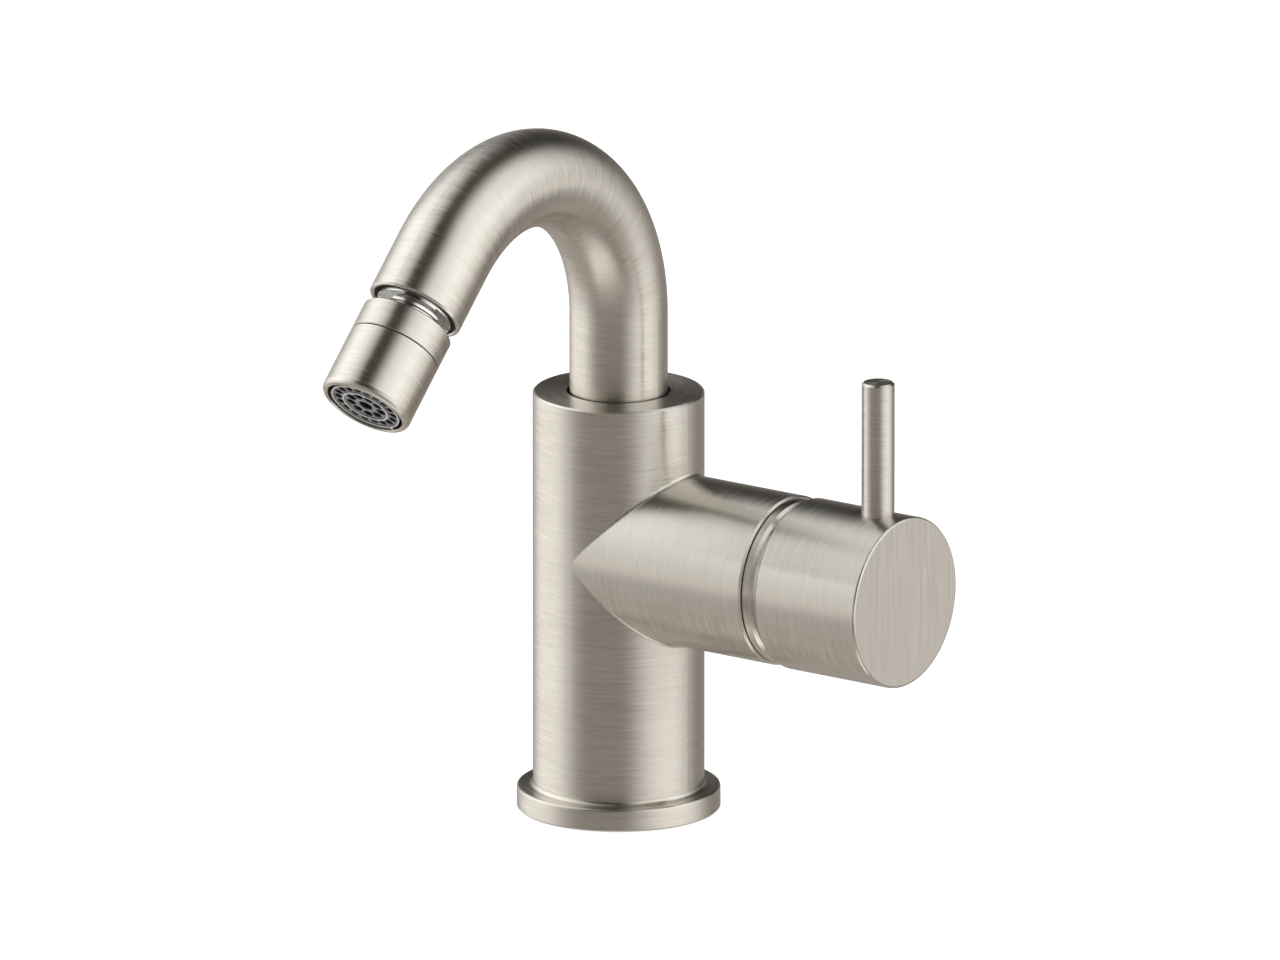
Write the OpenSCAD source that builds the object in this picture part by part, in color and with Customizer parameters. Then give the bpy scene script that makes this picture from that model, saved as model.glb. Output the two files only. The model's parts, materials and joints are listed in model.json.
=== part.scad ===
// Single-lever bidet mixer: round body on a base flange, side branch with a
// ceramic-disc cartridge and pin-lever handle, swivelling gooseneck spout and
// a ball-jointed aerator nozzle. All lengths in millimetres.
// Origin: centre of the underside of the base flange, on the deck plane.
// +Z is up, the spout points to -Y and the handle to +X.

/* [Body] */
// Radius of the upright body
body_r = 22.5; // [20:0.1:25]
// Height of the flat top of the body above the deck
body_top = 112.6; // [105:0.1:125]
// Radius of the base flange
flange_r = 26.7; // [25:0.1:32]
// Thickness of the base flange
flange_t = 6; // [5:0.1:9]
// Radius of the side branch, a hair under the body so the crease is crisp
branch_r = 22.45; // [21:0.01:22.47]
// Distance from the body axis to the end face of the branch
branch_end = 55.8; // [54:0.1:60]
// Height of the branch and handle axis above the deck
axis_z = 70.1; // [62:0.1:75]

/* [Spout] */
// Outer radius of the spout tube
tube_r = 12.88; // [12:0.01:13]
// Wall thickness of the spout tube
tube_wall = 1.28; // [1:0.01:1.5]
// Height at which the bend starts
bend_z = 133.7; // [126:0.1:150]
// Centreline radius of the bend
bend_r = 44.8; // [40:0.1:60]
// Angle the tube is bent through, from straight up
bend_a = 135; // [120:1:150]
// Straight length of tube after the bend
tube_end = 17.5; // [14:0.1:40]
// Swing of the spout to each side, set by the stop slot
swing = 60; // [30:1:75]

/* [Nozzle] */
// Radius of the swivel ball
ball_r = 10.8; // [10.4:0.05:10.85]
// Depth of the ball centre inside the tube end
ball_in = 2.5; // [2:0.1:3]
// Open gap between the tube end and the nozzle collar
nozzle_gap = 4; // [3.8:0.1:6]
// Outer radius of the collar and of the aerator sleeve
nozzle_r = 12.42; // [12.2:0.01:13]
// Length of the collar
collar_len = 8; // [7:0.1:10]
// Length of the aerator sleeve
sleeve_len = 18.5; // [16:0.1:24]

/* [Handle] */
// Outer radius of the handle
handle_r = 22.65; // [22:0.05:23]
// Gap between the branch and the handle
handle_gap = 5.1; // [4.6:0.1:6]
// Length of the handle
handle_len = 32.2; // [30:0.1:40]
// Distance of the lever pin behind the handle face
lever_back = 8.9; // [7:0.1:9.5]
// Radius of the lever pin
lever_r = 4.32; // [3.8:0.01:5]
// Height of the tip of the lever pin above the handle axis
lever_top = 58.1; // [40:0.1:80]

/* [Hidden] */
$fn = 96;

nickel = [0.72, 0.70, 0.67];
chrome_c = [0.85, 0.86, 0.88];
brass_c = [0.80, 0.66, 0.32];
rubber_c = [0.08, 0.08, 0.08];
pom_c = [0.90, 0.90, 0.87];
ceramic_c = [0.94, 0.93, 0.90];
dark_c = [0.16, 0.16, 0.17];
grey_c = [0.55, 0.56, 0.57];

// handle stations along X
handle_x0 = branch_end + handle_gap;
handle_x1 = handle_x0 + handle_len;
block_x = handle_x1 - 15.9;
lever_x = handle_x1 - lever_back;
// tilt pivot of the cartridge stem
pivot_x = handle_x0 - 14.9;
// cartridge floor in the branch
floor_x = 12;
// inlet ports, outlet port and stud hole
inlet_x = 6;
inlet_y = 8.5;
inlet_dz = 3;
outlet_dz = -7;
stud_x = -9.5;
// spout seat levels
bore_r = 13.3;
shoulder_z = 97.6;
tube_z0 = 104;
root_z0 = 90.4;
slot_z = 100.3;
// bend end and direction of the outlet axis
bend_y1 = -bend_r * (1 - cos(bend_a));
bend_z1 = bend_z + bend_r * sin(bend_a);
// levels along the outlet axis, measured from the ball centre
rim_w = ball_in;
collar_w = rim_w + nozzle_gap;
sleeve_w = collar_w + collar_len;
face_w = sleeve_w + sleeve_len;
tube_in = tube_r - tube_wall;
fit = 0.08;
liner_t = 0.4;
dome_rad = 25.2;
// distance of the wrench flats from the outlet axis, and the joint line of the nozzle
ball_flat = 8.8;
line_w = 0.3;

// local Z runs along the handle axis, measured from the body axis
module along_x() { translate([0, 0, axis_z]) rotate([0, 90, 0]) children(); }
// local Z runs along the outlet axis, measured from the ball centre
module at_ball() {
  translate([0, bend_y1, bend_z1]) rotate([bend_a, 0, 0])
    translate([0, 0, tube_end - ball_in]) children();
}
// plain ring between two radii and two levels
module ring(ro, ri, z0, z1) {
  difference() {
    translate([0, 0, z0]) cylinder(r = ro, h = z1 - z0);
    translate([0, 0, z0 - 1]) cylinder(r = ri, h = z1 - z0 + 2);
  }
}

module base_flange() color(nickel)
  rotate_extrude() polygon([[19.5, 0], [21, 0], [21, 1.6], [24.6, 1.6], [24.6, 0],
    [flange_r - 0.4, 0], [flange_r, 0.4], [flange_r, flange_t - 0.6],
    [flange_r - 0.08, flange_t - 0.3], [flange_r - 0.3, flange_t - 0.08], [flange_r - 0.6, flange_t], [19.5, flange_t]]);

module base_seal() color(rubber_c) ring(24.5, 21.1, 0, 1.6);

module mixer_body() color(nickel) difference() {
  union() {
    rotate_extrude() polygon([[0, 0], [18.9, 0], [19.4, 0.5], [19.4, flange_t],
      [body_r, flange_t], [body_r, body_top - 0.45], [body_r - 0.45, body_top], [0, body_top]]);
    along_x() rotate_extrude() polygon([[0, 0], [branch_r, 0],
      [branch_r, branch_end - 0.5], [branch_r - 0.5, branch_end], [0, branch_end]]);
  }
  // spout seat and mixed-water riser
  translate([0, 0, shoulder_z - 1]) cylinder(r = bore_r, h = body_top);
  translate([0, 0, 105.4]) cylinder(r = 14.4, h = 4.2);
  translate([0, 0, body_top - 1.6]) cylinder(r = bore_r + 0.25, h = 3);
  translate([0, 0, root_z0 - 0.4]) cylinder(r = 11, h = 20);
  translate([0, 0, axis_z + outlet_dz - 4]) cylinder(r = 5.5, h = 30);
  // cartridge chamber and thread for its nut
  along_x() translate([0, 0, floor_x]) cylinder(r = 17.6, h = 60);
  along_x() translate([0, 0, 45.2]) cylinder(r = 19.5, h = 30);
  // ports in the chamber floor
  translate([0, 0, axis_z + outlet_dz]) rotate([0, 90, 0]) cylinder(r = 3.5, h = floor_x + 1);
  for (s = [-1, 1]) {
    translate([inlet_x, s * inlet_y, axis_z + inlet_dz]) rotate([0, 90, 0]) cylinder(r = 3, h = floor_x - inlet_x + 1);
    translate([inlet_x, s * inlet_y, -1]) cylinder(r = 3.2, h = axis_z + inlet_dz + 4);
    translate([inlet_x, s * inlet_y, -1]) cylinder(r = 4.5, h = 15);
  }
  // fixing stud hole
  translate([stud_x, 0, -1]) cylinder(r = 3.4, h = 23);
  // stop screw hole in the back
  translate([0, 10, slot_z]) rotate([-90, 0, 0]) cylinder(r = 2.5, h = 20);
}

// grub screw with hexagon socket and dog point that runs in the stop slot
module spout_stop_screw() color(brass_c) translate([0, 0, slot_z]) rotate([-90, 0, 0]) difference() {
  union() {
    translate([0, 0, 13.7]) cylinder(r = 2.5, h = 8);
    translate([0, 0, 11]) cylinder(r = 1.1, h = 3);
  }
  translate([0, 0, 18.9]) cylinder(r = 1.44, h = 4, $fn = 6);
}

// slit upper guide ring and thrust washer of the swivel
module spout_slide_rings() color(dark_c) {
  rotate([0, 0, 95]) rotate_extrude(angle = 350) polygon([[tube_r + 0.07, 105.5], [14.35, 105.5], [14.35, 109.5], [tube_r + 0.07, 109.5]]);
  ring(13.2, 11.1, shoulder_z - 1, shoulder_z - 0.02);
}

module ports_base(z0, h, g) {
  for (s = [-1, 1]) translate([-inlet_dz, s * inlet_y, z0]) cylinder(r = 3 + g, h = h);
  translate([-outlet_dz, 0, z0]) cylinder(r = 3.5 + g, h = h);
}

module cartridge_base() color(dark_c) along_x() difference() {
  translate([0, 0, floor_x + 0.5]) cylinder(r = 17.4, h = 5.5);
  ports_base(floor_x, 8, 0);
  ports_base(floor_x, 1.4, 1.5);
}

module cartridge_base_seals() color(rubber_c) along_x() difference() {
  ports_base(floor_x, 1.4, 1.5);
  ports_base(floor_x - 1, 4, 0);
}

module fixed_disc() color(ceramic_c) along_x() difference() {
  translate([0, 0, floor_x + 6]) cylinder(r = 14, h = 3.4);
  ports_base(floor_x + 5, 6, 0);
}

module cartridge_housing() color(pom_c) along_x() difference() {
  union() {
    translate([0, 0, floor_x + 6]) cylinder(r = 17.4, h = 29);
    translate([0, 0, 46]) cylinder(r = 15.4, h = 8);
  }
  translate([0, 0, floor_x + 5]) cylinder(r = 15.3, h = 28);
  translate([0, 0, 44]) cylinder(r = 11.58, h = 12);
}

// slotted ring nut over the housing shoulder
module cartridge_nut() color(brass_c) along_x() difference() {
  ring(19.4, 15.6, 47.05, 53);
  for (a = [0, 90, 180, 270]) rotate([0, 0, a]) translate([16.4, -1.5, 50.5]) cube([5, 3, 4]);
}

// ring that closes the branch across a hairline gap and domes under the handle
module dome_ring() color(chrome_c) along_x() intersection() {
  rotate_extrude() polygon([[16, 53.2], [19.4, 53.2], [19.4, branch_end + 0.22],
    [21.5, branch_end + 0.22], [21.65, branch_end + 0.37], [21.35, branch_end + 2], [20.5, branch_end + 2.9],
    [20.5, pivot_x + 21], [16, pivot_x + 21]]);
  translate([0, 0, pivot_x]) sphere(r = dome_rad);
}

module cartridge_rotor() color(dark_c) along_x() difference() {
  union() {
    translate([0, 0, 40]) cylinder(r = 15, h = 4.8);
    translate([0, 0, 44]) cylinder(r = 11.5, h = 11);
  }
  translate([-8.2, -4.2, 39]) cube([16.4, 8.4, 17]);
  translate([0, -20, pivot_x]) rotate([-90, 0, 0]) cylinder(r = 2, h = 40);
}

module stem_pin() color(grey_c) along_x()
  translate([0, -10.5, pivot_x]) rotate([-90, 0, 0]) cylinder(r = 2, h = 21);

module disc_carrier() color(pom_c) along_x() difference() {
  translate([1.7, 0, 25]) cylinder(r = 11.5, h = 14);
  translate([0, 0, 31.5]) cylinder(r = 3.95, h = 8);
  translate([0, 0, 37.2]) cylinder(r = 5.3, h = 3);
}

module moving_disc() color(ceramic_c) along_x() difference() {
  translate([1.7, 0, floor_x + 9.45]) cylinder(r = 11.5, h = 3.55);
  translate([4, 0, floor_x + 9]) cylinder(r = 6.9, h = 2.2);
}

module cartridge_stem() color(brass_c) along_x() difference() {
  union() {
    translate([0, 0, pivot_x - 10]) sphere(r = 3.8);
    translate([0, 0, pivot_x - 10]) cylinder(r = 2.6, h = 10);
    translate([0, -4, pivot_x]) rotate([-90, 0, 0]) cylinder(r = 4.6, h = 8);
    translate([-4, -4, pivot_x]) cube([8, 8, handle_x1 - 5 - pivot_x]);
  }
  translate([0, -20, pivot_x]) rotate([-90, 0, 0]) cylinder(r = 2.05, h = 40);
}

module handle_shell() color(nickel) along_x() difference() {
  rotate_extrude() polygon([[0, block_x], [20.8, block_x], [20.8, handle_x0 + 0.3], [21.1, handle_x0],
    [handle_r - 0.4, handle_x0], [handle_r, handle_x0 + 0.4], [handle_r, handle_x1 - 0.65],
    [handle_r - 0.05, handle_x1 - 0.4], [handle_r - 0.19, handle_x1 - 0.19], [handle_r - 0.4, handle_x1 - 0.05],
    [handle_r - 0.65, handle_x1], [0, handle_x1]]);
  translate([-4.02, -4.02, block_x - 1]) cube([8.04, 8.04, handle_x1 - 4.5 - block_x + 1]);
  translate([0, 0, lever_x]) rotate([0, -90, 0]) {
    translate([0, 0, 18]) cylinder(r = lever_r + 0.03, h = 10);
    translate([0, 0, 4]) cylinder(r = 3, h = 20);
    translate([0, 0, -30]) cylinder(r = 2.5, h = 27);
  }
}

module lever_pin() color(nickel) along_x() translate([0, 0, lever_x]) rotate([0, -90, 0]) union() {
  translate([0, 0, 4.1]) cylinder(r = 3, h = 16);
  rotate_extrude() polygon([[0, 18], [lever_r, 18], [lever_r, lever_top - 0.5], [lever_r - 0.5, lever_top], [0, lever_top]]);
}

module handle_grub_screw() color(grey_c) along_x() translate([0, 0, lever_x]) rotate([0, -90, 0]) difference() {
  translate([0, 0, -13]) cylinder(r = 2.5, h = 8.99);
  translate([0, 0, -14]) cylinder(r = 1.44, h = 4, $fn = 6);
}

module handle_plug() color(grey_c) along_x() translate([0, 0, lever_x]) rotate([0, -90, 0])
  translate([0, 0, -handle_r + 0.25]) cylinder(r = 2.5, h = 4);

module spout_tube() color(nickel) union() {
  ring(tube_r, tube_in, tube_z0, bend_z);
  translate([0, -bend_r, bend_z]) rotate([90, 0, 90]) {
    rotate_extrude(angle = bend_a) translate([bend_r, 0]) difference() {
      circle(r = tube_r);
      circle(r = tube_in);
    }
    rotate([0, 0, bend_a]) translate([bend_r, 0, 0]) rotate([-90, 0, 0]) rotate_extrude() polygon([[tube_in + 0.01, 0], [tube_r - 0.01, 0],
      [tube_r - 0.01, tube_end - 0.5], [tube_r - 0.5, tube_end], [tube_in + 0.3, tube_end], [tube_in + 0.01, tube_end - 0.3]]);
  }
}

// brazed root with o-ring grooves and the stop slot
module spout_root() color(brass_c) difference() {
  union() {
    rotate_extrude() polygon([[8, root_z0], [10.9, root_z0], [10.9, shoulder_z], [tube_r - 0.02, shoulder_z],
      [tube_r - 0.02, tube_z0], [tube_in, tube_z0], [tube_in, tube_z0 + 10], [8, tube_z0 + 10]]);
  }
  for (z = [91.1, 94.2]) ring(12, 9.1, z, z + 2.1);
  rotate([0, 0, 90 - swing - 6.6]) rotate_extrude(angle = 2 * swing + 13.2)
    polygon([[10.4, slot_z - 1.3], [14, slot_z - 1.3], [14, slot_z + 1.3], [10.4, slot_z + 1.3]]);
}

module spout_o_rings() color(rubber_c)
  for (z = [92.15, 95.25]) translate([0, 0, z]) rotate_extrude() translate([10.05, 0]) circle(r = 0.92);

// brazed socket behind the ball
module outlet_socket() color(brass_c) at_ball() difference() {
  translate([0, 0, -13]) cylinder(r = tube_in, h = 13);
  sphere(r = ball_r + 2 * fit + liner_t);
  translate([0, 0, -20]) cylinder(r = 6, h = 20);
}

module ball_retainer() color(dark_c) at_ball() difference() {
  translate([0, 0, 0.02]) cylinder(r = tube_in, h = rim_w - 0.45);
  sphere(r = ball_r + fit);
}

// thin bearing shell between socket and ball
module ball_liner() color(pom_c) at_ball() difference() {
  intersection() {
    sphere(r = ball_r + fit + liner_t);
    translate([0, 0, -8]) cylinder(r = 12, h = 7.7);
  }
  sphere(r = ball_r + fit);
}

// hollow ball with wrench flats, two coned steps and a threaded neck
module swivel_ball() color(chrome_c) at_ball() difference() {
  union() {
    intersection() {
      sphere(r = ball_r);
      translate([-20, -20, -8.3]) cube([40, 40, rim_w + 9]);
    }
    translate([0, 0, rim_w]) rotate_extrude() polygon([[4, -1], [9.5, -1], [9.5, 0.6], [10.25, 0.6], [10.25, 0.72],
      [10, 0.93], [9.34, 1.28], [9.1, 1.34], [9.1, 2.05], [8.6, 2.35], [8.6, 3.1], [8.3, 3.1], [8.3, nozzle_gap + 5], [4, nozzle_gap + 5]]);
  }
  translate([0, 0, -12]) cylinder(r = 4.6, h = 30);
  for (a = [-8, 112, 232]) rotate([0, 0, a]) translate([ball_flat, -8, rim_w + 0.3]) cube([6, 16, nozzle_gap]);
}

module nozzle_collar() color(nickel) at_ball() rotate_extrude() polygon([[8.4, collar_w], [nozzle_r - 0.35, collar_w],
  [nozzle_r, collar_w + 0.35], [nozzle_r, sleeve_w - 0.1], [nozzle_r - 0.1, sleeve_w], [11, sleeve_w],
  [11, collar_w + 2.6], [8.4, collar_w + 2.6]]);

module nozzle_sleeve() color(nickel) at_ball() rotate_extrude() polygon([[8.6, collar_w + 4.6], [10.95, collar_w + 4.6],
  [10.95, sleeve_w + line_w], [nozzle_r - 0.1, sleeve_w + line_w], [nozzle_r, sleeve_w + line_w + 0.1],
  [nozzle_r, face_w - 1.5], [nozzle_r - 0.22, face_w - 0.72], [nozzle_r - 0.62, face_w - 0.24], [nozzle_r - 1.2, face_w],
  [10.85, face_w], [10.65, face_w - 0.2], [10.65, sleeve_w + 6], [8.6, sleeve_w + 6]]);

module nozzle_seal() color(rubber_c) at_ball() ring(10.9, 8.7, collar_w + 2.65, collar_w + 4.55);

module aerator_washer() color(rubber_c) at_ball() ring(10.6, 8.7, sleeve_w + 6.02, sleeve_w + 7.6);

module aerator_body() color(dark_c) at_ball() difference() {
  union() {
    translate([0, 0, sleeve_w + 7.62]) cylinder(r = 10.6, h = 1.5);
    translate([0, 0, sleeve_w + 8]) cylinder(r = 10.2, h = sleeve_len - 10.6);
  }
  translate([0, 0, sleeve_w + 7]) cylinder(r = 8.2, h = 4);
  translate([0, 0, sleeve_w + 10]) cylinder(r = 9.4, h = 20);
}

// plate that splits the flow into jets
module aerator_diffuser() color(pom_c) at_ball() difference() {
  translate([0, 0, sleeve_w + 10.02]) cylinder(r = 9.35, h = 1.4);
  for (k = [0 : 17]) rotate([0, 0, k * 20]) translate([7, 0, sleeve_w + 9]) cylinder(r = 0.55, h = 4);
}

// two perforated screens, turned against each other
module aerator_screens() color(grey_c) at_ball() for (i = [0, 1]) translate([0, 0, sleeve_w + 12.4 + 1.3 * i]) rotate([0, 0, 15 * i]) difference() {
  cylinder(r = 9.35, h = 0.5);
  for (k = [0 : 5]) rotate([0, 0, k * 60]) translate([2.4, 0, -1]) cylinder(r = 0.9, h = 3, $fn = 6);
  for (k = [0 : 11]) rotate([0, 0, k * 30]) translate([4.9, 0, -1]) cylinder(r = 0.95, h = 3, $fn = 6);
  for (k = [0 : 17]) rotate([0, 0, k * 20]) translate([7.4, 0, -1]) cylinder(r = 0.95, h = 3, $fn = 6);
}

// row of n round cells of radius rc on a circle of radius rr
module cells(n, rr, rc) {
  for (k = [0 : n - 1]) rotate([0, 0, k * 360 / n]) translate([rr, 0, face_w - 4]) cylinder(r = rc, h = 6);
}

// outlet grille: proud rim and middle ring, two rows of round cells and one in the centre
module aerator_grille() color(grey_c) at_ball() difference() {
  union() {
    translate([0, 0, face_w - 2.55]) cylinder(r = 9.72, h = 1.75);
    ring(9.75, 9.3, face_w - 1.5, face_w - 0.42);
    ring(6.55, 6, face_w - 1.5, face_w - 0.42);
    rotate([0, 0, -70]) translate([9.35, -0.45, face_w - 2.55]) cube([1.25, 0.9, 2.1]);
  }
  cells(18, 7.92, 1.14);
  rotate([0, 0, 11]) cells(9, 4.32, 1.35);
  translate([0, 0, face_w - 4]) cylinder(r = 1.95, h = 6);
}

base_flange();
base_seal();
mixer_body();
spout_stop_screw();
spout_slide_rings();
cartridge_base();
cartridge_base_seals();
fixed_disc();
cartridge_housing();
cartridge_nut();
dome_ring();
cartridge_rotor();
stem_pin();
disc_carrier();
moving_disc();
cartridge_stem();
handle_shell();
lever_pin();
handle_grub_screw();
handle_plug();
spout_tube();
spout_root();
spout_o_rings();
outlet_socket();
ball_retainer();
ball_liner();
swivel_ball();
nozzle_collar();
nozzle_sleeve();
nozzle_seal();
aerator_washer();
aerator_body();
aerator_diffuser();
aerator_screens();
aerator_grille();
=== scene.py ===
import bpy, bmesh, math, json
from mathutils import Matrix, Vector


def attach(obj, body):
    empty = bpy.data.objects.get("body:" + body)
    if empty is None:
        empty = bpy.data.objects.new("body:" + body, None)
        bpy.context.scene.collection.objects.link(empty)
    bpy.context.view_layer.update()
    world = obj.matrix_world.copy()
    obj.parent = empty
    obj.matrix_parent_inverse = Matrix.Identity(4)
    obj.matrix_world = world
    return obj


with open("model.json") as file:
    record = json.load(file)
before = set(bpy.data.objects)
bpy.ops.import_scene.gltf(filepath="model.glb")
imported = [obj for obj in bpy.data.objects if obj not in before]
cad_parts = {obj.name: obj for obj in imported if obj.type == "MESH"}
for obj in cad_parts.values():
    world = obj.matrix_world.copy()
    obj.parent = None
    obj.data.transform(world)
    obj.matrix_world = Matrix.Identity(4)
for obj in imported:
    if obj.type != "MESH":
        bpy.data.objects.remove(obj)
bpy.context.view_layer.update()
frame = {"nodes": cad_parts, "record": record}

nodes = frame["nodes"]
MM = 0.001

# ---------------------------------------------------------------- geometry facts (metres)
BODY_R, BRANCH_R, AXIS_Z = 22.5 * MM, 22.45 * MM, 70.1 * MM
BEND_R, BEND_Z, BEND_A = 44.8 * MM, 133.7 * MM, math.radians(135)
END = Vector((0, -math.sin(BEND_A), math.cos(BEND_A)))
BALL = Vector((0, -BEND_R * (1 - math.cos(BEND_A)), BEND_Z + BEND_R * math.sin(BEND_A))) + END * (15.0 * MM)
LEVER_X, FACE_W, BALL_FLAT = 84.2 * MM, 33.0 * MM, 8.8 * MM


# ---------------------------------------------------------------- node helpers
class Tree:
    def __init__(self, name):
        self.mat = bpy.data.materials.new(name)
        self.mat.use_nodes = True
        self.t = self.mat.node_tree
        self.t.nodes.clear()
        self.out = self.t.nodes.new("ShaderNodeOutputMaterial")
        self.bsdf = self.t.nodes.new("ShaderNodeBsdfPrincipled")
        self.link(self.bsdf.outputs[0], self.out.inputs[0])

    def link(self, a, b):
        self.t.links.new(a, b)

    def put(self, sock, v):
        if isinstance(v, bpy.types.NodeSocket):
            self.link(v, sock)
        else:
            sock.default_value = v

    def math(self, op, a, b=0.0, c=0.0, clamp=False):
        n = self.t.nodes.new("ShaderNodeMath")
        n.operation = op
        n.use_clamp = clamp
        self.put(n.inputs[0], a)
        self.put(n.inputs[1], b)
        self.put(n.inputs[2], c)
        return n.outputs[0]

    def vmath(self, op, a, b=(0, 0, 0), scale=None):
        n = self.t.nodes.new("ShaderNodeVectorMath")
        n.operation = op
        self.put(n.inputs[0], a)
        if scale is not None:
            self.put(n.inputs["Scale"], scale)
        else:
            self.put(n.inputs[1], b)
        return n.outputs["Value"] if op in ("DOT_PRODUCT", "LENGTH", "DISTANCE") else n.outputs["Vector"]

    def xyz(self, v):
        n = self.t.nodes.new("ShaderNodeSeparateXYZ")
        self.link(v, n.inputs[0])
        return n.outputs

    def vec(self, x, y, z):
        n = self.t.nodes.new("ShaderNodeCombineXYZ")
        for i, v in enumerate((x, y, z)):
            self.put(n.inputs[i], v)
        return n.outputs[0]

    def pos(self):
        return self.t.nodes.new("ShaderNodeTexCoord").outputs["Object"]

    def normal(self):
        g = self.t.nodes.new("ShaderNodeNewGeometry")
        v = self.t.nodes.new("ShaderNodeVectorTransform")
        v.vector_type, v.convert_from, v.convert_to = "NORMAL", "WORLD", "OBJECT"
        self.link(g.outputs["True Normal"], v.inputs[0])
        return v.outputs[0]

    def to_world(self, d):
        v = self.t.nodes.new("ShaderNodeVectorTransform")
        v.vector_type, v.convert_from, v.convert_to = "VECTOR", "OBJECT", "WORLD"
        self.link(d, v.inputs[0])
        return v.outputs[0]

    def noise(self, v, scale, detail=2.0, rough=0.5, dist=0.0):
        n = self.t.nodes.new("ShaderNodeTexNoise")
        self.link(v, n.inputs["Vector"])
        n.inputs["Scale"].default_value = scale
        n.inputs["Detail"].default_value = detail
        n.inputs["Roughness"].default_value = rough
        n.inputs["Distortion"].default_value = dist
        return n.outputs[0]

    def remap(self, v, a, b, lo, hi):
        n = self.t.nodes.new("ShaderNodeMapRange")
        self.link(v, n.inputs[0])
        for i, x in enumerate((a, b, lo, hi)):
            n.inputs[i + 1].default_value = x
        return n.outputs[0]

    def mixf(self, f, a, b):
        n = self.t.nodes.new("ShaderNodeMix")
        n.data_type = "FLOAT"
        self.put(n.inputs[0], f)
        self.put(n.inputs[2], a)
        self.put(n.inputs[3], b)
        return n.outputs[0]

    def mixv(self, f, a, b):
        n = self.t.nodes.new("ShaderNodeMix")
        n.data_type = "VECTOR"
        self.put(n.inputs[0], f)
        self.put(n.inputs[4], a)
        self.put(n.inputs[5], b)
        return n.outputs[1]

    def mixc(self, f, a, b):
        n = self.t.nodes.new("ShaderNodeMix")
        n.data_type = "RGBA"
        self.put(n.inputs[0], f)
        self.put(n.inputs[6], a)
        self.put(n.inputs[7], b)
        return n.outputs[2]

    def bump(self, h, strength, dist, normal=None):
        n = self.t.nodes.new("ShaderNodeBump")
        if normal is not None:
            self.link(normal, n.inputs["Normal"])
        n.inputs["Strength"].default_value = strength
        n.inputs["Distance"].default_value = dist
        self.link(h, n.inputs["Height"])
        self.link(n.outputs[0], self.bsdf.inputs["Normal"])

    def set(self, **kw):
        for k, v in kw.items():
            self.put(self.bsdf.inputs[k.replace("_", " ")], v)


NICKEL = (0.715, 0.675, 0.617, 1)
NICKEL_DK = (0.575, 0.537, 0.485, 1)
LEAN = 0.065


def cyl(T, P, A, e):
    """Height along e and unit radial direction for an axis through A."""
    d = T.vmath("SUBTRACT", P, tuple(A))
    h = T.vmath("DOT_PRODUCT", d, tuple(e))
    rad = T.vmath("SUBTRACT", d, T.vmath("SCALE", tuple(e), scale=h))
    return h, rad


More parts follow.
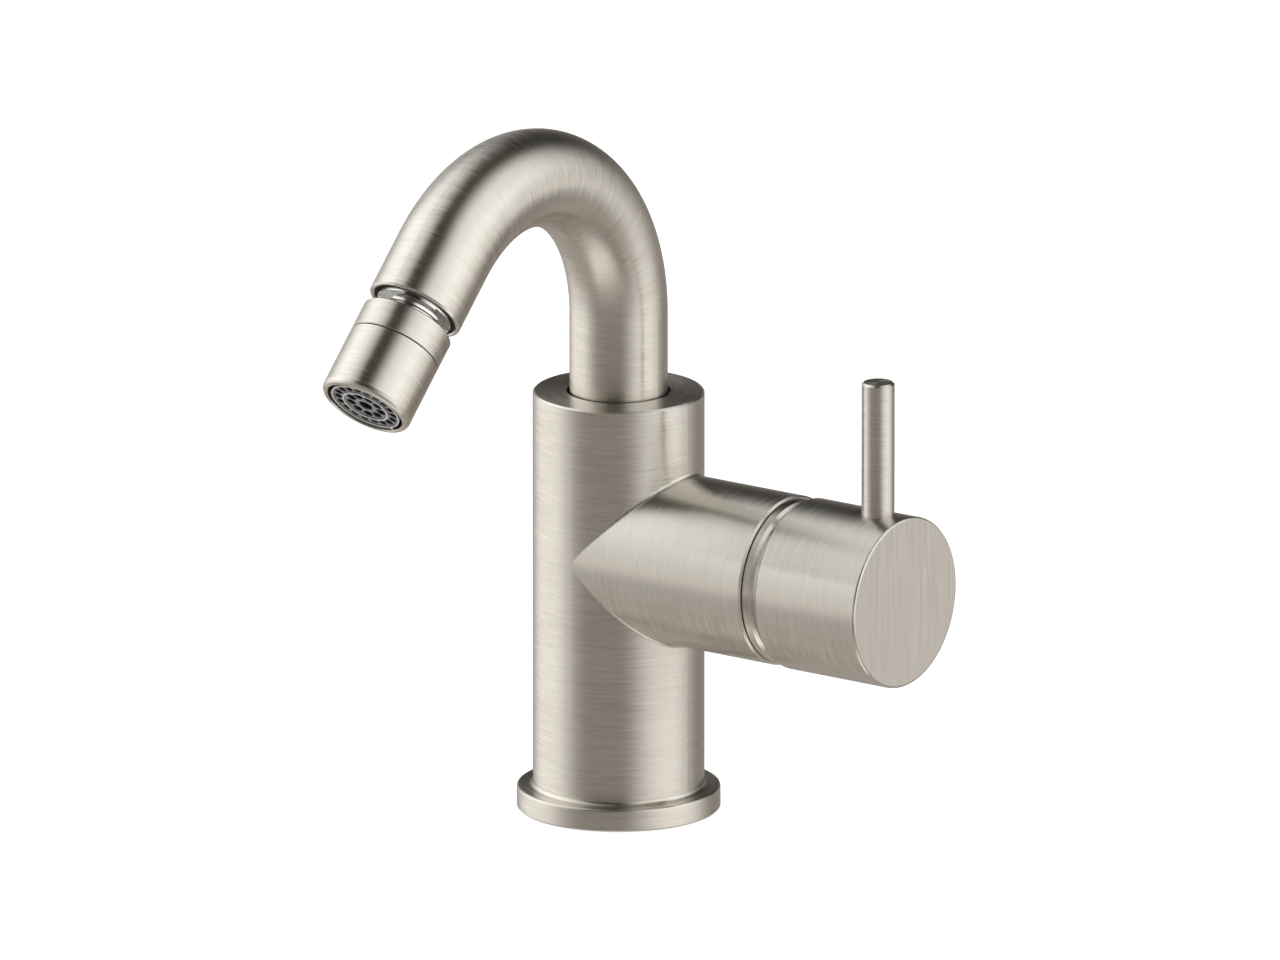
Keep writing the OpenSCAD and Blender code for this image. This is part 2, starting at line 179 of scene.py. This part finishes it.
def brushed(name, kind, rough=0.30, aniso=0.80, burnish=0.0):
    """Brushed nickel. The scratches run round each turned surface, and the tangent across them stretches the highlights."""
    T = Tree(name)
    P = T.pos()
    N = T.normal()
    if kind == "tube":
        x, y, z = T.xyz(P)
        yy, zz = T.math("ADD", y, BEND_R), T.math("SUBTRACT", z, BEND_Z)
        t = T.math("MINIMUM", T.math("MAXIMUM", T.math("ARCTAN2", zz, yy), 0.0), BEND_A)
        ct, st = T.math("COSINE", t), T.math("SINE", t)
        nst = T.math("MULTIPLY", st, -1.0)
        q = T.math("SUBTRACT", T.math("ADD", T.math("MULTIPLY", yy, ct), T.math("MULTIPLY", zz, st)), BEND_R)
        h = T.math("ADD", T.math("ADD", T.math("MULTIPLY", yy, nst), T.math("MULTIPLY", zz, ct)), T.math("MULTIPLY", t, BEND_R))
        axis = T.vec(0.0, nst, ct)
        ring = T.vmath("NORMALIZE", T.vec(x, q, 0.0))
        rlen = T.math("SQRT", T.math("ADD", T.math("MULTIPLY", x, x), T.math("MULTIPLY", q, q)))
        rad = T.vec(x, T.math("MULTIPLY", q, ct), T.math("MULTIPLY", q, st))
        flat = T.math("GREATER_THAN", T.math("ABSOLUTE", T.vmath("DOT_PRODUCT", N, axis)), 0.8)
        tang = T.mixv(flat, axis, rad)
        ringv, along = ring, T.mixf(flat, h, rlen)
    else:
        if kind == "body":
            x, y, z = T.xyz(P)
            r2 = T.math("ADD", T.math("MULTIPLY", x, x), T.math("MULTIPLY", y, y))
            branch = T.math("GREATER_THAN", r2, (BODY_R + 0.03 * MM) ** 2)
            A = T.mixv(branch, (0, 0, 0), (0, 0, AXIS_Z))
            e = T.mixv(branch, (0, 0, 1), (1, 0, 0))
            d = T.vmath("SUBTRACT", P, A)
            h = T.vmath("DOT_PRODUCT", d, e)
            rad = T.vmath("SUBTRACT", d, T.vmath("SCALE", e, scale=h))
            axis = e
        else:
            A, e = {"z": ((0, 0, 0), (0, 0, 1)), "ring": ((0, 0, AXIS_Z), (1, 0, 0)), "nozzle": (tuple(BALL), tuple(END)),
                    "lever": ((LEVER_X, 0, AXIS_Z), (0, 0, 1)), "handle": ((0, 0, AXIS_Z), (1, 0, 0))}[kind]
            h, rad = cyl(T, P, A, e)
            axis = T.vec(*e)
        nd = T.vmath("DOT_PRODUCT", N, axis)
        flat = T.math("GREATER_THAN", T.math("ABSOLUTE", nd), 0.8)
        rlen = T.vmath("LENGTH", rad)
        ringv = T.vmath("NORMALIZE", rad)
        along = T.mixf(flat, h, rlen)
        tang = T.mixv(flat, axis, rad)
        if kind == "handle":
            # the front face is brushed straight up and down
            x, y, z = T.xyz(P)
            face = T.math("GREATER_THAN", nd, 0.8)
            tang = T.mixv(face, tang, (0, 1, 0))
            along = T.mixf(face, along, y)
            ringv = T.mixv(face, ringv, T.vec(T.math("MULTIPLY", z, 22.0), 0.0, 0.0))
    run = T.vec(0.0, 0.0, 1.0) if kind == "tube" else T.vec(0.577, 0.577, 0.577) if kind == "handle" else axis
    # hairlines: long along the scratch, short across it, a little wavy
    wavy = T.math("ADD", along, T.math("MULTIPLY", T.math("SUBTRACT", T.noise(P, 75.0, 1.0), 0.5), 0.0009))

    def streak(length, across, detail):
        return T.noise(T.vmath("ADD", T.vmath("SCALE", ringv, scale=length), T.vmath("SCALE", run, scale=T.math("MULTIPLY", wavy, across))), 1.0, detail, 0.6)

    k = {"lever": 0.45, "nozzle": 0.75, "tube": 0.8}.get(kind, 1.0)
    mid = streak(2.9 * k, 1450.0, 1.5)
    fine = streak(1.7 * k, 3500.0, 1.0)
    broad = streak(2.0 * k, 420.0, 2.0)
    cloud = T.noise(P, 48.0, 2.0, 0.5)
    lines = T.math("ADD", T.math("ADD", T.math("MULTIPLY", mid, 0.32), T.math("MULTIPLY", fine, 0.56)), T.math("MULTIPLY", broad, 0.12))
    tone = T.math("ADD", T.math("MULTIPLY", lines, 0.9), T.math("MULTIPLY", cloud, 0.1))
    col = T.mixc(T.remap(tone, 0.36, 0.64, 0.0, 1.0), NICKEL_DK, NICKEL)
    grain = T.remap(T.math("ADD", T.math("MULTIPLY", mid, 0.45), T.math("MULTIPLY", fine, 0.55)), 0.25, 0.75, rough - 0.06, rough + 0.07)
    if kind == "ring":
        # painted shade: where the dome runs under the handle (radius below 20.7 mm) the base colour is darkened towards
        # dark brown, standing in for the shade in the gap
        col = T.mixc(T.remap(rlen, 20.4 * MM, 20.7 * MM, 0.65, 0.0), col, (0.11, 0.098, 0.083, 1))
    if kind == "body":
        # painted shade: everything within 13.7 mm of the body's axis, inside the spout's bore, is painted dark brown to
        # stand in for the shade down the gap round the spout
        col = T.mixc(T.math("LESS_THAN", r2, (13.7 * MM) ** 2), col, (0.05, 0.043, 0.035, 1))
    if burnish:
        # edges are burnished by handling
        steep = T.math("ABSOLUTE", T.vmath("DOT_PRODUCT", N, axis))
        edge = T.math("MULTIPLY", T.math("MULTIPLY", T.math("SUBTRACT", steep, 0.25), 6.0, clamp=True), T.math("MULTIPLY", T.math("SUBTRACT", 0.93, steep), 12.0, clamp=True))
        grain = T.mixf(edge, grain, burnish)
    T.set(Base_Color=col, Metallic=1.0, Roughness=grain)
    T.set(Anisotropic=aniso, Tangent=T.to_world(tang))
    # each scratch leans a little to one side
    lean = T.vmath("SCALE", T.vmath("NORMALIZE", T.to_world(T.vmath("CROSS_PRODUCT", axis, rad))), scale=T.math("MULTIPLY", T.math("SUBTRACT", T.math("ADD", T.math("MULTIPLY", mid, 0.3), T.math("MULTIPLY", fine, 0.7)), 0.5), LEAN))
    shade = T.t.nodes.new("ShaderNodeNewGeometry").outputs["Normal"]
    T.bump(lines, 0.3, 0.00003, T.vmath("NORMALIZE", T.vmath("ADD", shade, lean)))
    return T.mat


def polished(name):
    T = Tree(name)
    P = T.pos()
    smear = T.noise(P, 140.0, 3.0, 0.6)
    fine = T.noise(P, 2600.0, 2.0, 0.6)
    col = T.mixc(T.remap(smear, 0.35, 0.65, 0.0, 1.0), (0.70, 0.70, 0.69, 1), (0.78, 0.775, 0.76, 1))
    T.set(Base_Color=col, Metallic=1.0, Roughness=T.remap(smear, 0.3, 0.7, 0.07, 0.13))
    T.bump(fine, 0.05, 0.00002)
    return T.mat


def machined(name, dark, light, rough):
    T = Tree(name)
    P = T.pos()
    n = T.noise(P, 900.0, 3.0, 0.6)
    m = T.noise(P, 90.0, 2.0, 0.5)
    T.set(Base_Color=T.mixc(T.remap(T.math("ADD", T.math("MULTIPLY", n, 0.5), T.math("MULTIPLY", m, 0.5)), 0.35, 0.65, 0.0, 1.0), dark, light), Metallic=1.0, Roughness=T.remap(n, 0.3, 0.7, rough - 0.06, rough + 0.08))
    T.bump(n, 0.2, 0.00003)
    return T.mat


def moulded(name, dark, light, rough, grain=1400.0, spec=0.5):
    T = Tree(name)
    P = T.pos()
    n = T.noise(P, grain, 3.0, 0.6)
    m = T.noise(P, 120.0, 2.0, 0.5)
    T.set(Base_Color=T.mixc(T.remap(m, 0.3, 0.7, 0.0, 1.0), dark, light), Roughness=T.remap(n, 0.3, 0.7, rough - 0.06, rough + 0.06))
    T.set(Specular_IOR_Level=spec)
    T.bump(n, 0.25, 0.00003)
    return T.mat


def ball_finish(name):
    """Bright ball with as-cast wrench flats."""
    T = Tree(name)
    P = T.pos()
    h, rad = cyl(T, P, BALL, END)
    yv = Vector((0, -math.sqrt(0.5), math.sqrt(0.5)))
    N = T.normal()
    flat = None
    for deg in (-8, 112, 232):
        d = Vector((1, 0, 0)) * math.cos(math.radians(deg)) + yv * math.sin(math.radians(deg))
        one = T.math("MULTIPLY", T.math("GREATER_THAN", T.vmath("DOT_PRODUCT", N, tuple(d)), 0.9995), T.math("COMPARE", T.vmath("DOT_PRODUCT", rad, tuple(d)), BALL_FLAT, 0.05 * MM))
        flat = one if flat is None else T.math("MAXIMUM", flat, one)
    grain = T.noise(P, 1300.0, 4.0, 0.75)
    smear = T.noise(P, 160.0, 3.0, 0.6)
    bright = T.mixc(T.remap(smear, 0.35, 0.65, 0.0, 1.0), (0.72, 0.715, 0.70, 1), (0.80, 0.79, 0.77, 1))
    cast = T.mixc(T.remap(grain, 0.35, 0.65, 0.0, 1.0), (0.27, 0.27, 0.268, 1), (0.62, 0.62, 0.61, 1))
    T.set(Base_Color=T.mixc(flat, bright, cast), Metallic=1.0, Roughness=T.mixf(flat, T.remap(smear, 0.3, 0.7, 0.06, 0.12), T.remap(grain, 0.3, 0.7, 0.42, 0.6)))
    T.bump(T.math("MULTIPLY", grain, T.math("ADD", T.math("MULTIPLY", flat, 0.95), 0.05)), 0.5, 0.00005)
    return T.mat


def grille_finish(name):
    """Moulded grille in grey, with painted shade by depth: raised rings in the moulding's own grey, webs below them
    darker, nearly black inside the cells.
    """
    T = Tree(name)
    P = T.pos()
    h, rad = cyl(T, P, BALL, END)
    web = T.remap(h, FACE_W - 1.25 * MM, FACE_W - 0.85 * MM, 0.0, 1.0)
    top = T.remap(h, FACE_W - 0.72 * MM, FACE_W - 0.55 * MM, 0.0, 1.0)
    n = T.noise(P, 1500.0, 3.0, 0.6)
    speck = T.remap(n, 0.35, 0.65, 0.0, 1.0)
    pale = T.mixc(speck, (0.34, 0.335, 0.33, 1), (0.47, 0.465, 0.455, 1))
    # painted shade by depth: the webs below the raised rings are darkened and the cells painted nearly black
    web_painted_shade = T.mixc(speck, (0.13, 0.128, 0.126, 1), (0.24, 0.237, 0.233, 1))
    cell_painted_shadow = T.mixc(speck, (0.012, 0.012, 0.012, 1), (0.024, 0.024, 0.024, 1))
    T.set(Base_Color=T.mixc(top, T.mixc(web, cell_painted_shadow, web_painted_shade), pale), Roughness=T.remap(n, 0.3, 0.7, 0.3, 0.45))
    T.bump(n, 0.25, 0.00004)
    return T.mat


M = {
    "ring": brushed("nickel_ring", "ring", 0.24, 0.7),
    "ball": ball_finish("bright_ball"),
    "grille": grille_finish("grille_moulding"),
    "body": brushed("nickel_body", "body"),
    "z": brushed("nickel_flange", "z"),
    "handle": brushed("nickel_handle", "handle", burnish=0.19),
    "lever": brushed("nickel_lever", "lever", burnish=0.24),
    "tube": brushed("nickel_spout", "tube", burnish=0.22),
    "nozzle": brushed("nickel_nozzle", "nozzle", burnish=0.24),
    "polished": polished("polished_chrome"),
    "brass": machined("machined_brass", (0.62, 0.44, 0.16, 1), (0.74, 0.55, 0.24, 1), 0.3),
    "steel": machined("machined_steel", (0.42, 0.42, 0.42, 1), (0.55, 0.55, 0.55, 1), 0.32),
    "rubber": moulded("black_rubber", (0.014, 0.014, 0.014, 1), (0.03, 0.03, 0.03, 1), 0.7),
    "white": moulded("white_acetal", (0.72, 0.72, 0.69, 1), (0.80, 0.80, 0.77, 1), 0.45),
    "dark": moulded("dark_moulding", (0.022, 0.022, 0.024, 1), (0.036, 0.036, 0.038, 1), 0.5),
    # partly painted shade: the ball retainer and aerator body are dark plastic, made darker and browner, with less
    # specular, than the other dark mouldings to stand in for the shade in the gap round the ball
    "shade": moulded("socket_moulding_painted_shade", (0.018, 0.015, 0.011, 1), (0.028, 0.024, 0.018, 1), 0.6, 1400.0, 0.12),
    "grey": moulded("grey_moulding", (0.36, 0.36, 0.355, 1), (0.44, 0.44, 0.43, 1), 0.35),
    "ceramic": moulded("alumina", (0.80, 0.79, 0.75, 1), (0.88, 0.87, 0.84, 1), 0.25, 2200.0),
}
SLOT = {s["node"]: s["material_slot"] for s in frame["record"]["subparts"]}
BY_SLOT = {"polished": "polished", "brass": "brass", "screw_steel": "steel", "rubber": "rubber", "white_plastic": "white", "dark_plastic": "dark", "grey_plastic": "grey", "ceramic": "ceramic"}
BY_NODE = {"mixer_body": "body", "base_flange": "z", "handle_shell": "handle", "lever_pin": "lever", "spout_tube": "tube", "nozzle_collar": "nozzle", "nozzle_sleeve": "nozzle",
           "dome_ring": "ring", "swivel_ball": "ball", "aerator_grille": "grille", "aerator_screens": "dark", "ball_retainer": "shade", "aerator_body": "shade"}
for n, o in nodes.items():
    o.data.materials.clear()
    o.data.materials.append(M[BY_NODE.get(n) or BY_SLOT[SLOT[n]]])


def mesh_object(name, verts, faces, mat, smooth=True):
    me = bpy.data.meshes.new(name)
    me.from_pydata(verts, [], faces)
    me.validate()
    for p in me.polygons:
        p.use_smooth = smooth
    o = bpy.data.objects.new(name, me)
    bpy.context.scene.collection.objects.link(o)
    o.data.materials.append(mat)
    return o


# ---------------------------------------------------------------- blend between body and branch
def crease(rho=1.0 * MM, n=360, k=10):
    verts, faces = [], []
    for i in range(n + 1):
        f = 2 * math.pi * i / n
        y, dz = (BRANCH_R + rho) * math.sin(f), (BRANCH_R + rho) * math.cos(f)
        x = math.sqrt(max((BODY_R + rho) ** 2 - y * y, 0.0))
        C = Vector((x, y, AXIS_Z + dz))
        a = -Vector((x, y, 0)).normalized()
        b = -Vector((0, y, dz)).normalized()
        ang = a.angle(b)
        for j in range(k + 1):
            u = j / k
            v = a if ang < 1e-5 else (a * math.sin((1 - u) * ang) + b * math.sin(u * ang)) / math.sin(ang)
            verts.append(C + v * (rho + 0.01 * MM * (1 if j in (0, k) else 0)))
    for i in range(n):
        for j in range(k):
            p = i * (k + 1) + j
            faces.append((p, p + k + 1, p + k + 2, p + 1))
    o = mesh_object("body_crease", verts, faces, M["body"])
    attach(o, "mixer")
    return o


crease()


def foot_fillet(rho=1.1 * MM, n=240, k=8):
    """Small radius where the body stands on the flange."""
    verts, faces = [], []
    foot = 6.0 * MM
    for i in range(n):
        f = 2 * math.pi * i / n
        for j in range(k + 1):
            a = math.pi + 0.5 * math.pi * j / k
            r = BODY_R + rho + (rho + 0.005 * MM) * math.cos(a)
            verts.append((r * math.cos(f), r * math.sin(f), foot + rho + (rho + 0.005 * MM) * math.sin(a)))
    for i in range(n):
        for j in range(k):
            p, q = i * (k + 1) + j, (i + 1) % n * (k + 1) + j
            faces.append((p, p + 1, q + 1, q))
    o = mesh_object("body_foot_fillet", verts, faces, M["z"])
    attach(o, "mixer")
    return o


foot_fillet()

# ---------------------------------------------------------------- camera at the photograph's angle
AZ, EL = math.radians(36.636), math.radians(15.114)
R_ = Vector((math.cos(AZ), math.sin(AZ), 0))
C_ = Vector((math.sin(AZ) * math.cos(EL), -math.cos(AZ) * math.cos(EL), math.sin(EL)))
U_ = C_.cross(R_)
AIM = R_ * (5.59 * MM) + U_ * (85.185 * MM)
DIST = 11.0
cam_data = bpy.data.cameras.new("camera")
cam_data.sensor_width = 36.0
cam_data.lens = 3814.3 * DIST * 36.0 / 1280.0
cam_data.clip_start, cam_data.clip_end = 0.1, 50.0
cam = bpy.data.objects.new("camera", cam_data)
bpy.context.scene.collection.objects.link(cam)
cam.location = AIM + C_ * DIST
cam.rotation_mode = "QUATERNION"
cam.rotation_quaternion = (-C_).to_track_quat("-Z", "Y")
bpy.context.scene.camera = cam
bpy.context.scene.view_settings.view_transform = "Standard"

# ---------------------------------------------------------------- floor
fm = bpy.data.materials.new("pale_floor")
fm.use_nodes = True
fb = fm.node_tree.nodes["Principled BSDF"]
fb.inputs["Base Color"].default_value = (0.8, 0.8, 0.8, 1)
fb.inputs["Roughness"].default_value = 0.9
fb.inputs["Specular IOR Level"].default_value = 0.0
fb.inputs["Emission Color"].default_value = (1, 1, 1, 1)
fb.inputs["Emission Strength"].default_value = 0.7
floor = mesh_object("floor", [(-6, -6, 0), (6, -6, 0), (6, 6, 0), (-6, 6, 0)], [(0, 1, 2, 3)], fm, False)
floor.location.z = -0.0002
floor.visible_glossy = False

# ---------------------------------------------------------------- low white backdrop behind the object
bm = bpy.data.materials.new("pale_backdrop")
bm.use_nodes = True
bb = bm.node_tree.nodes["Principled BSDF"]
bb.inputs["Base Color"].default_value = (0.8, 0.8, 0.8, 1)
bb.inputs["Roughness"].default_value = 0.9
bb.inputs["Specular IOR Level"].default_value = 0.0
bb.inputs["Emission Color"].default_value = (1, 1, 1, 1)
bb.inputs["Emission Strength"].default_value = 0.9
wall = []
for i in range(61):
    f = math.radians(70 + 130 * i / 60)
    wall += [(1.1 * math.cos(f), 1.1 * math.sin(f), -0.0002), (1.1 * math.cos(f), 1.1 * math.sin(f), 0.21)]
backdrop = mesh_object("backdrop", wall, [(2 * i, 2 * i + 2, 2 * i + 3, 2 * i + 1) for i in range(60)], bm)
backdrop.visible_glossy = False
backdrop.visible_diffuse = False
backdrop.visible_shadow = False

# ---------------------------------------------------------------- soft studio surround: two large soft lights and dim walls
world = bpy.data.worlds.new("studio")
bpy.context.scene.world = world
world.use_nodes = True
wt = world.node_tree
wt.nodes.clear()


def wn(kind, **kw):
    n = wt.nodes.new(kind)
    for k, v in kw.items():
        setattr(n, k, v)
    return n


def wmath(op, a, b=0.0, c=0.0, clamp=False):
    n = wn("ShaderNodeMath", operation=op, use_clamp=clamp)
    for i, v in enumerate((a, b, c)):
        if isinstance(v, bpy.types.NodeSocket):
            wt.links.new(v, n.inputs[i])
        else:
            n.inputs[i].default_value = v
    return n.outputs[0]


def wdot(v, d):
    n = wn("ShaderNodeVectorMath", operation="DOT_PRODUCT")
    wt.links.new(v, n.inputs[0])
    n.inputs[1].default_value = d
    return n.outputs["Value"]


def wramp(v, stops, lo, hi):
    """Piecewise ramp of (position, value) stops over lo..hi."""
    n = wn("ShaderNodeFloatCurve")
    m = wn("ShaderNodeMapRange")
    wt.links.new(v, m.inputs[0])
    for i, x in enumerate((lo, hi, 0.0, 1.0)):
        m.inputs[i + 1].default_value = x
    wt.links.new(m.outputs[0], n.inputs["Value"])
    top = max(s[1] for s in stops)
    cv = n.mapping.curves[0]
    pts = [((p - lo) / (hi - lo), q / top) for p, q in stops]
    cv.points[0].location = pts[0]
    cv.points[1].location = pts[-1]
    for p in pts[1:-1]:
        cv.points.new(*p)
    for p in cv.points:
        p.handle_type = "VECTOR"
    n.mapping.update()
    return wmath("MULTIPLY", n.outputs[0], top)


direction = wn("ShaderNodeTexCoord").outputs["Generated"]
el = wmath("MULTIPLY", wmath("ARCSINE", wdot(direction, (0, 0, 1))), 180 / math.pi)


def step(v, a, b):
    """Soft edge from 0 at a to 1 at b."""
    m = wn("ShaderNodeMapRange", interpolation_type="SMOOTHSTEP")
    wt.links.new(v, m.inputs[0])
    for i, x in enumerate((min(a, b), max(a, b), 0.0, 1.0) if a < b else (b, a, 1.0, 0.0)):
        m.inputs[i + 1].default_value = x
    return m.outputs[0]


def softbox(centre, inner, outer, low, high, strength):
    """Large soft light: azimuth from the camera's side in degrees, soft edges all round."""
    w = AZ + math.radians(centre)
    side, front = (math.cos(w), math.sin(w), 0), (math.sin(w), -math.cos(w), 0)
    off = wmath("ABSOLUTE", wmath("MULTIPLY", wmath("ARCTAN2", wdot(direction, side), wdot(direction, front)), 180 / math.pi))
    box = wmath("MULTIPLY", step(off, outer, inner), wmath("MULTIPLY", step(el, *low), step(el, *high)))
    return wmath("MULTIPLY", box, strength)


room = wramp(el, [(-90, .48), (-40, .50), (-22, .235), (-8, .45), (8, .15), (25, .004), (90, 0)], -90, 90)
ceiling = wramp(el, [(-90, 0), (20, 0), (90, .10)], -90, 90)
boxes = [
    softbox(-110, 12, 57, (-46, -12), (82, 27), 0.89),
    softbox(67, 5, 65, (-39, -11), (36, 3), 1.10),
    softbox(-110, 45, 70, (-20, 24), (91, 56), 0.82),
    softbox(70, 27, 69, (-4, 30), (84, 45), 1.30),
    # white table in front of the object
    softbox(0, 45, 80, (-100, -95), (-45, -62), 1.0),
]
lit = boxes[0]
for b in boxes[1:]:
    lit = wmath("ADD", lit, b)
# a dark flag behind the object
lit = wmath("MULTIPLY", lit, wmath("SUBTRACT", 1.0, softbox(180, 20, 52, (-12, 5), (40, 25), 0.6)))
sky = None
for tint, strength in (((1, 0.937, 0.860, 1), room), ((1, 0.985, 0.80, 1), ceiling), ((0.98, 1, 1, 1), lit)):
    bg = wn("ShaderNodeBackground")
    bg.inputs["Color"].default_value = tint
    wt.links.new(strength, bg.inputs["Strength"])
    if sky is None:
        sky = bg.outputs[0]
    else:
        both = wn("ShaderNodeAddShader")
        wt.links.new(sky, both.inputs[0])
        wt.links.new(bg.outputs[0], both.inputs[1])
        sky = both.outputs[0]
wt.links.new(sky, wn("ShaderNodeOutputWorld").inputs[0])
